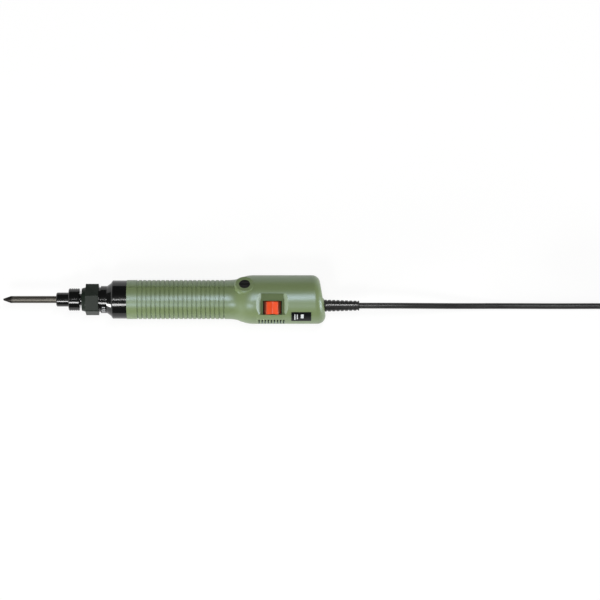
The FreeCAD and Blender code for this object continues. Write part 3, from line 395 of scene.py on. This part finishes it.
dress(turned_metal("turned_steel", "#9A9B9D", "#C4C5C7", 0.3, 0.5 * MM), "collar_clip", "retaining_balls",
      "spring_seat", "thrust_washer", "clutch_plate", "clutch_balls", "bearing_outer_ring", "bearing_inner_ring",
      "bearing_balls", "planet_carrier", "motor_shaft", "cover_screws", "rocker_pin")
dress(turned_metal("cut_gear_steel", "#7E8082", "#B0B1B3", 0.36, 0.3 * MM), "planet_gear_1", "planet_gear_2",
      "planet_gear_3", "ring_gear", "pinion")
dress(turned_metal("zinc_plated_sheet", "#A3A7AC", "#C9CCD0", 0.4, 2.5 * MM), "motor_can", "motor_plate")
dress(turned_metal("stacked_core_steel", "#55575A", "#8B8D90", 0.45, 1.0 * MM), "armature_core")
dress(turned_metal("drawn_spring_wire", "#75777A", "#A9ABAD", 0.28, 1.4 * MM), "collar_spring", "torque_spring",
      "push_spring", "brush_springs")
dress(turned_metal("turned_brass", "#B98A3C", "#DDB765", 0.28, 0.4 * MM), "brush_holders", "connector_pins",
      "front_motor_bush", "rear_motor_bush")
dress(turned_metal("enamelled_copper", "#8A3F22", "#C46A3D", 0.3, 0.9 * MM), "armature_winding")
dress(turned_metal("bare_copper", "#A85A38", "#D98B63", 0.32, 0.5 * MM), "commutator")
dress(turned_metal("nickel_plate", "#B3B0A8", "#D6D3CB", 0.22, 0.8 * MM), "connector_shell")

# %% [markdown]
# Magnets and brushes are pressed from powder, ferrite and carbon, and stay dull and grainy. The board is a laminate
# under a green solder mask, and its weave shows faintly through. A cell texture could draw the grains one by one;
# noise of the grain's size is enough for pieces that are only seen when the tool is open.

# %% Magnets, brushes and board
def grainy(name, dark, light, roughness, size):
    material = new_finish(name, light, roughness)
    grains = mottle(material, size, detail=4.0)
    feed(material, tinted(material, grains, dark, light), "Base Color")
    roughen(material, grains, grain_depth)
    return material


dress(grainy("sintered_ferrite", "#26272A", "#3C3D41", 0.6, 0.7 * MM), "magnets")
dress(grainy("pressed_carbon", "#151515", "#2C2C2D", 0.55, 0.4 * MM), "brushes")
dress(grainy("solder_masked_laminate", "#0B4A22", "#14662F", 0.3, 1.8 * MM), "circuit_board")

# %% [markdown]
# The lead is one fixed length of soft PVC, drawn as one smooth NURBS curve with a round bevel. It leaves the strain
# relief, sinks to the bench, runs straight out of the picture and is wound up there. The coil's turns are half
# circles between knots, spiralling in and out and climbing a layer where they turn back, so a loop makes them. Each
# control point stands a little outside its circle, because this kind of curve cuts its corners.

# %% Route of the lead
cord_diameter = 5.0 * MM
route = [(0.16623, -0.0052, 0.0207), (0.19107, -0.0052, 0.0207), (0.22107, -0.0054, 0.0165),
         (0.25307, -0.0056, 0.0082), (0.28907, -0.0055, 0.0034), (0.33207, -0.0057, 0.0027),
         (0.36407, -0.0056, 0.0028), (0.37707, -0.0056, 0.0028), (0.39307, -0.0094, 0.0032),
         (0.40507, -0.0155, 0.0037), (0.41607, -0.0155, 0.0037)]
tail_steps = [(0.0, 0.0, 0.0), (0.009, 0.0, 0.0), (0.019, 0.0018, -0.003), (0.029, 0.0056, -0.0096),
              (0.039, 0.0074, -0.0126), (0.048, 0.0074, -0.0126)]
coil_layers = 4
half_turns_per_layer = 3
coil_pitch = 5.45 * MM
layer_rise = 5.6 * MM
inner_radius = 20.0 * MM
climb_step = 1.8 * MM
outer_radius = inner_radius + climb_step + half_turns_per_layer * coil_pitch / 2
POINTS_PER_HALF_TURN = 8


def coil_knots():
    """Where the coil crosses the line through its middle, half a turn apart."""
    middle = Vector(route[-1]) + Vector((cord_diameter, outer_radius, 0))
    radii = []
    for layer in range(coil_layers):
        inward = [outer_radius - coil_pitch * step / 2 for step in range(half_turns_per_layer + 1)]
        inward[-1] = inner_radius
        if layer > 0:
            inward[0] = outer_radius + climb_step
        radii += [(radius, layer) for radius in (inward if layer % 2 == 0 else inward[::-1])]
    radii[-1] = (outer_radius, coil_layers - 1)
    radii.append((outer_radius + coil_pitch / 2, coil_layers - 1))
    ways = [1 if number % 2 == 0 else -1 for number in range(len(radii))]
    return [middle + Vector((0, -way * radius, layer * layer_rise)) for way, (radius, layer) in zip(ways, radii)]


def coil_points(knots):
    step = math.pi / POINTS_PER_HALF_TURN
    reach = 1 / math.cos(step / 2)
    points = []
    for number, (start, end) in enumerate(zip(knots, knots[1:])):
        half = (end - start) / 2
        sideways = Vector((half.length if number % 2 == 0 else -half.length, 0, 0))
        for place in range(POINTS_PER_HALF_TURN):
            turn = step * (place + 0.5)
            points.append((start + end) / 2 + (sideways * math.sin(turn) - half * math.cos(turn)) * reach)
    return points


knots = coil_knots()
tail_start = knots[-1] + Vector((cord_diameter, 0, 0))
tail = [tail_start + Vector(step) for step in tail_steps]
cord_points = [Vector(place) for place in route] + coil_points(knots) + tail
print("lead has", len(cord_points), "control points and", (len(knots) - 1) / 2, "turns")

# %% [markdown]
# The sheath is black PVC, extruded over the wires. That leaves it smooth and half glossy, so it shows one soft line
# of light, and use gives it dull scuffs along its length. A skin of cylinders could follow the route too, but a curve
# keeps its thickness in every bend and stays easy to change. The strain relief is moulded in a glossier PVC.

# %% Lead
scuff_blot = 5 * MM
sheath_grain = 1.0 * MM
sheath_grain_depth = 0.015 * MM


def pvc_sheath(name, roughness):
    material = new_finish(name, "#1F1F1F", roughness, IOR=1.45)
    scuff = mottle(material, scuff_blot, (4, 1, 1), 3.0)
    feed(material, tinted(material, scuff, "#1B1B1B", "#2A2A2A"), "Base Color")
    feed(material, spread(material, scuff, roughness - 0.06, roughness + 0.08), "Roughness")
    roughen(material, mottle(material, sheath_grain), sheath_grain_depth)
    return material


def cord_curve(name, points, material):
    curve = bpy.data.curves.new(name, "CURVE")
    curve.dimensions = "3D"
    curve.bevel_depth = cord_diameter / 2
    curve.bevel_resolution = 6
    curve.resolution_u = 6
    curve.use_fill_caps = True
    spline = curve.splines.new("NURBS")
    spline.points.add(len(points) - 1)
    for control, place in zip(spline.points, points):
        control.co = (*place, 1.0)
    spline.use_endpoint_u = True
    spline.order_u = 3
    curve.materials.append(material)
    piece = bpy.data.objects.new(name, curve)
    bpy.context.scene.collection.objects.link(piece)
    return piece


sheath = pvc_sheath("black_pvc_sheath", 0.36)
lead = cord_curve("lead", cord_points, sheath)
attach(lead, "housing")
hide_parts("power_cord", "cord_coil", "cord_tail")
print("lead drawn", round(cord_diameter / MM, 1), "mm thick")

# %% [markdown]
# Pieces are modelled as by hand: a primitive is added, shaped in edit mode, and its place is applied to its mesh. A
# few helpers keep that short. By hand, faces would be picked with the mouse; here a test on each face's middle and
# normal picks them, so the same faces are found on every run.

# %% Helpers for modelling
def start_piece():
    """Leave nothing selected, so that an operator touches only what comes next."""
    if bpy.context.object and bpy.context.object.mode != "OBJECT":
        bpy.ops.object.mode_set(mode="OBJECT")
    bpy.ops.object.select_all(action="DESELECT")


def pick_faces(piece, wanted):
    """In edit mode, select the faces for which wanted(middle, normal) holds."""
    bpy.ops.object.mode_set(mode="EDIT")
    bpy.ops.mesh.select_mode(type="FACE")
    bpy.ops.mesh.select_all(action="DESELECT")
    bpy.ops.object.mode_set(mode="OBJECT")
    for face in piece.data.polygons:
        face.select = wanted(face.center, face.normal)
    bpy.ops.object.mode_set(mode="EDIT")


def apply_all(piece):
    """Apply the piece's place and its modifiers, so that its shape is all in its mesh."""
    bpy.ops.object.mode_set(mode="OBJECT")
    bpy.ops.object.transform_apply(location=True, rotation=True, scale=True)
    for modifier in list(piece.modifiers):
        bpy.ops.object.modifier_apply(modifier=modifier.name)


def finish_piece(piece, material, body, smooth_angle=35):
    piece.data.materials.clear()
    piece.data.materials.append(material)
    bpy.ops.object.shade_smooth_by_angle(angle=math.radians(smooth_angle))
    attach(piece, body)
    print(piece.name, "has", len(piece.data.polygons), "faces")


# %% [markdown]
# The strain relief is a tapered sleeve of soft PVC with slots in its two sides, so that it bends without a kink. It
# starts as a short cylinder and is drawn out band by band with extrude and resize. A cone would give the taper in one
# step, but not the bands that the slots need.

# %% Sleeve of the strain relief
relief_low, relief_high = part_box("strain_relief")
relief_length = 30.0 * MM
relief_start = relief_high.x - relief_length
relief_slots = 8
relief_pitch = 3.6 * MM
slot_width = 1.2 * MM
relief_root = 10.2 * MM / 2
relief_tip = 8.2 * MM / 2
relief_middle = (relief_low + relief_high) / 2


def relief_radius(x):
    return relief_root + (relief_tip - relief_root) * (x - relief_start) / relief_length


def drawn_sleeve(name, stations, sides=48):
    """A tapered sleeve along X, drawn out from station to station and closed at both ends."""
    start_piece()
    first = stations[1] - stations[0]
    bpy.ops.mesh.primitive_cylinder_add(vertices=sides, radius=relief_root, depth=first,
                                        rotation=(0, math.pi / 2, 0),
                                        location=(stations[0] + first / 2, relief_middle.y, relief_middle.z))
    piece = bpy.context.object
    piece.name = name
    bpy.ops.object.transform_apply(location=False, rotation=True, scale=False)
    pick_faces(piece, lambda middle, normal: normal.x > 0.9)
    for here, there in zip(stations[1:], stations[2:]):
        share = relief_radius(there) / relief_radius(here)
        bpy.ops.mesh.extrude_region_move(TRANSFORM_OT_translate={"value": (there - here, 0, 0)})
        bpy.ops.transform.resize(value=(1, share, share))
    bpy.ops.object.mode_set(mode="OBJECT")
    bpy.ops.object.transform_apply(location=True, rotation=False, scale=False)
    return piece


band_ends = [relief_start]
for slot in range(relief_slots):
    slot_end = relief_start + (slot + 1) * relief_pitch
    band_ends += [slot_end - slot_width, slot_end]
relief = drawn_sleeve("slotted_strain_relief", band_ends + [relief_high.x])
print(relief.name, "drawn out over", round(relief_length / MM, 1), "mm")

# %% [markdown]
# Each slot is sunk into one band of the sleeve, on its two sides, with an extrude along the normals. Boolean cuts would
# make the same slots, but leave long thin faces that take a bevel badly. The slots leave a spine above and below, which
# shows as a line along the sleeve.

# %% Slots of the strain relief
slot_depth = 0.6 * MM
slot_edge_width = 0.22 * MM


def in_slot(middle, normal):
    """True in each slot's band, on the two sides that the slot takes."""
    along = middle.x - relief_start
    in_band = along % relief_pitch > relief_pitch - slot_width and along < relief_slots * relief_pitch
    on_side = abs(middle.z - relief_middle.z) < 1.5 * abs(middle.y - relief_middle.y)
    return in_band and on_side and abs(normal.x) < 0.9


def sink_slots(piece):
    pick_faces(piece, in_slot)
    bpy.ops.mesh.extrude_region_shrink_fatten(TRANSFORM_OT_shrink_fatten={"value": -slot_depth})
    bpy.ops.object.mode_set(mode="OBJECT")
    soften = piece.modifiers.new("soft_edges", "BEVEL")
    soften.width = slot_edge_width
    soften.segments = 2
    soften.limit_method = "ANGLE"
    soften.angle_limit = math.radians(40)
    apply_all(piece)


sink_slots(relief)
finish_piece(relief, pvc_sheath("black_pvc_relief", 0.24), "housing")
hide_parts("strain_relief")

# %% [markdown]
# A hook-and-loop strap holds the coil. It starts as a cube of the strap's outer size, loses its two open ends,
# gets round corners with a bevel and its thickness from a Solidify modifier. A flat curve would do as well, but can
# twist at its corners. The strap is woven nylon: matt, with a soft sheen, and ribbed by its threads. The threads lie
# about 0.35 mm apart; the ribs are drawn at 0.7 mm so that they show.

# %% Coil tie
rib_pitch = 0.7 * MM
rib_depth = 0.06 * MM
strap_thickness = 0.9 * MM
strap_corner_width = 2.2 * MM
strap_edge_width = 0.2 * MM


def woven_nylon():
    material = new_finish("woven_black_nylon", "#17181A", 0.75, IOR=1.53, Sheen_Weight=0.3)
    weave = ringed(material, rib_pitch, "X")
    feed(material, tinted(material, weave, "#0F1011", "#22242A"), "Base Color")
    roughen(material, weave, rib_depth)
    return material


def coil_strap():
    low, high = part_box("cord_tie")
    start_piece()
    bpy.ops.mesh.primitive_cube_add(size=1, location=(low + high) / 2, scale=high - low)
    piece = bpy.context.object
    piece.name = "coil_strap"
    bpy.ops.object.transform_apply(location=True, rotation=True, scale=True)
    pick_faces(piece, lambda middle, normal: abs(normal.x) > 0.9)
    bpy.ops.mesh.delete(type="FACE")
    bpy.ops.object.mode_set(mode="OBJECT")
    corners = piece.modifiers.new("round_corners", "BEVEL")
    corners.width = strap_corner_width
    corners.segments = 5
    corners.limit_method = "ANGLE"
    wall = piece.modifiers.new("strap_thickness", "SOLIDIFY")
    wall.thickness = strap_thickness
    wall.offset = -1
    edge = piece.modifiers.new("strap_edge", "BEVEL")
    edge.width = strap_edge_width
    edge.segments = 2
    edge.limit_method = "ANGLE"
    edge.angle_limit = math.radians(60)
    apply_all(piece)
    return piece


strap = coil_strap()
finish_piece(strap, woven_nylon(), "housing")
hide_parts("cord_tie")

# %% [markdown]
# A drawn lead says nothing of how it behaves. Where it leaves the tool and where its tail ends are printed last, once
# all that goes with the lead is there.

# %% Lead's facts
print("lead leaves the tool", round(route[0][0] / MM, 1), "mm along X and ends at", round(tail[-1].x / MM, 1), "mm")

# %% [markdown]
# Three wound springs are pressed together in use: the torque spring by its nut, the collar's spring when the bit is
# freed, and the push spring when the bit is pushed. A rigid node can't shorten. A spring could be wound anew for each
# length; here each spring is a copy of its node, with its loose triangles merged, which starts from the exact shape,
# and the node is hidden.


def pressed_spring(node_name):
    start_piece()
    piece = bpy.data.objects.new("pressed_" + node_name, nodes[node_name].data.copy())
    bpy.context.scene.collection.objects.link(piece)
    bpy.context.view_layer.objects.active = piece
    piece.select_set(True)
    bpy.ops.object.mode_set(mode="EDIT")
    bpy.ops.mesh.select_all(action="SELECT")
    bpy.ops.mesh.remove_doubles(threshold=weld_reach)
    bpy.ops.object.mode_set(mode="OBJECT")
    finish_piece(piece, piece.data.materials[0], nodes[node_name]["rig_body"])
    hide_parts(node_name)
    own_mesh(piece)


pressed_spring("torque_spring")
pressed_spring("collar_spring")
pressed_spring("push_spring")

# %% [markdown]
# The label plate and the painted marks are thin patches that follow a round piece. A tall cylinder of the right radius
# is added and all but a window of it deleted; Solidify gives the window its thickness. A plane wrapped by Shrinkwrap
# would follow the round too, but its edges would wander.

# %% Thin patches on a round
def round_window(name, x0, x1, lean0, lean1, radius, thickness, sides=360):
    """A curved patch round the tool's axis, between two leans from straight up towards +Y, in degrees."""
    start_piece()
    bpy.ops.mesh.primitive_cylinder_add(vertices=sides, radius=radius, depth=x1 - x0, end_fill_type="NOTHING",
                                        rotation=(0, math.pi / 2, 0), location=((x0 + x1) / 2, 0, axis_height))
    piece = bpy.context.object
    piece.name = name
    bpy.ops.object.transform_apply(location=True, rotation=True, scale=True)

    def outside(middle, normal):
        lean = math.degrees(math.atan2(middle.y, middle.z - axis_height))
        return not lean0 < lean < lean1

    pick_faces(piece, outside)
    bpy.ops.mesh.delete(type="FACE")
    bpy.ops.object.mode_set(mode="OBJECT")
    wall = piece.modifiers.new("thickness", "SOLIDIFY")
    wall.thickness = thickness
    wall.offset = 1
    apply_all(piece)
    return piece


# %% [markdown]
# The plate is black polyester film, smooth and a little glossy, and its marks are white screen ink, which dries flat
# and chalky. Both are uneven only in their gloss, over about 3 mm. The marks could be painted on in the material, but
# patches of their own stay sharp at any size. The plate carries plain bars only.

# %% Label plate
gloss_blot = 3 * MM
cover_radius = axis_height
glue_gap = 0.02 * MM
ink_thickness = 0.05 * MM
plate_left = 108.6 * MM
plate_length = 16.7 * MM
plate_leans = (-60, -31)
plate_thickness = 0.25 * MM


def film(name, colour, roughness):
    material = new_finish(name, colour, roughness, IOR=1.3)
    feed(material, spread(material, mottle(material, gloss_blot), roughness - 0.05, roughness + 0.08), "Roughness")
    return material


plate = round_window("label_plate", plate_left, plate_left + plate_length, *plate_leans, cover_radius + glue_gap,
                     plate_thickness)
finish_piece(plate, film("black_polyester_film", "#08090B", 0.3), "housing")

white_ink = film("white_screen_ink", "#C4C7C9", 0.5)
bars_mm = [(2.6, 0.8), (4.6, 0.8), (8.0, 2.4)]
bar_foot_leans = [-55, -52, -49]
bar_top_lean = -37
for number, ((start, width), foot_lean) in enumerate(zip(bars_mm, bar_foot_leans)):
    bar = round_window("label_bar_%d" % number, plate_left + start * MM, plate_left + (start + width) * MM,
                       foot_lean, bar_top_lean, cover_radius + glue_gap + plate_thickness, ink_thickness)
    finish_piece(bar, white_ink, "housing")

# %% [markdown]
# The torque scale is a row of ticks painted on the neck, which the nut covers or frees as it turns. They are patches
# of the same ink. One tick could be copied and turned, but each is as quickly made at its own lean.

# %% Torque scale
neck_radius = 11.6 * MM
tick_ends = (-52.0 * MM, -49.2 * MM)
tick_leans = [-36, -45, -54, -63]
tick_half_lean = 1.5
for number, lean in enumerate(tick_leans):
    tick = round_window("torque_tick_%d" % number, *tick_ends, lean - tick_half_lean, lean + tick_half_lean,
                        neck_radius, ink_thickness)
    finish_piece(tick, white_ink, "housing")

# %% [markdown]
# The bench is white paper. More light would make it white too, but would bleach the tool. So most of it glows white for
# the camera and for reflections, and the rest is lit, so that it keeps a faint shadow. Away from the tool, where no
# shadow falls, it glows all over, and no edge of a lamp's light shows on it.

# %% Bench
bench_size = 14
bench_glow = 0.85
shadow_reach = 0.5
white_reach = 1.1


def white_bench():
    material = new_finish("white_bench_paper", "#F4F4F3", 0.9)
    shader = material.node_tree.nodes["Principled BSDF"]
    rays = add_node(material, "ShaderNodeLightPath")
    seen = add_node(material, "ShaderNodeMath", {0: rays.outputs["Is Camera Ray"], 1: rays.outputs["Is Glossy Ray"]},
                    operation="MAXIMUM")
    clear = add_node(material, "ShaderNodeMath", {0: seen.outputs[0], 1: rays.outputs["Is Transmission Ray"]},
                     operation="MAXIMUM")
    place = add_node(material, "ShaderNodeTexCoord")
    away = add_node(material, "ShaderNodeVectorMath", {0: place.outputs["Object"]}, operation="LENGTH")
    white = add_node(material, "ShaderNodeMapRange", {"Value": away.outputs["Value"], "From Min": shadow_reach,
                                                      "From Max": white_reach, "To Min": bench_glow, "To Max": 1.0})
    share = add_node(material, "ShaderNodeMath", {0: clear.outputs[0], 1: white.outputs["Result"]},
                     operation="MULTIPLY")
    glow = add_node(material, "ShaderNodeEmission", {"Color": (1, 1, 1, 1), "Strength": 1.0})
    mix = add_node(material, "ShaderNodeMixShader", {0: share.outputs[0], 1: shader.outputs["BSDF"],
                                                     2: glow.outputs["Emission"]})
    end = material.node_tree.nodes["Material Output"]
    material.node_tree.links.new(mix.outputs["Shader"], end.inputs["Surface"])
    return material


start_piece()
bpy.ops.mesh.primitive_plane_add(size=bench_size, location=(view_middle.x, view_middle.y, 0))
bench = bpy.context.object
bench.name = "bench"
bench.data.materials.append(white_bench())
print("bench", bench_size, "m wide")

# %% [markdown]
# Plain soft light comes from four boxes. A long box overhead, turned aslant, gives the housing its soft band of light.
# A small box to one side draws the white line on the black steel of the nose. A panel low down at each end lights the
# slopes of the switch pocket. The room itself gives only a little, so that black steel stays black between the lamps;
# one bright dome would be simpler, but would grey it.

# %% Light
room_strength = 0.1


def lamp(name, lean, tilt, distance, length, width, power, skew=0):
    """A soft box that looks at the tool, leaning from straight up towards +Y and tilted towards +X, in degrees.

    Sizes and distance are in metres and the power in watts; skew turns the box in its own plane.
    """
    sight = Vector((math.tan(math.radians(tilt)), math.tan(math.radians(lean)), 1)).normalized()
    place = Vector((view_middle.x, 0, 0)) + sight * distance
    turn = sight.to_track_quat("Z", "Y") @ Quaternion((0, 0, 1), math.radians(skew))
    bpy.ops.object.light_add(type="AREA", location=place, rotation=turn.to_euler())
    light = bpy.context.object
    light.name = name
    light.data.shape = "RECTANGLE"
    light.data.size = length
    light.data.size_y = width
    light.data.energy = power
    print(name, "at lean", lean, "and tilt", tilt)


lamp("overhead_box", lean=10, tilt=0.9, distance=1.5, length=0.86, width=0.12, power=14, skew=60)
lamp("nose_strip", lean=-31, tilt=-16.3, distance=1.4, length=0.3, width=0.3, power=5.6)
lamp("bit_end_panel", lean=-70, tilt=-79.5, distance=1.4, length=0.4, width=0.4, power=17)
lamp("cord_end_panel", lean=-45, tilt=79.5, distance=1.4, length=0.8, width=0.4, power=15)
world = bpy.context.scene.world or bpy.data.worlds.new("room")
bpy.context.scene.world = world
world.use_nodes = True
room = world.node_tree.nodes["Background"]
room.inputs["Color"].default_value = linear("#FFFFFF")
room.inputs["Strength"].default_value = room_strength
bpy.context.scene.view_settings.view_transform = "Standard"
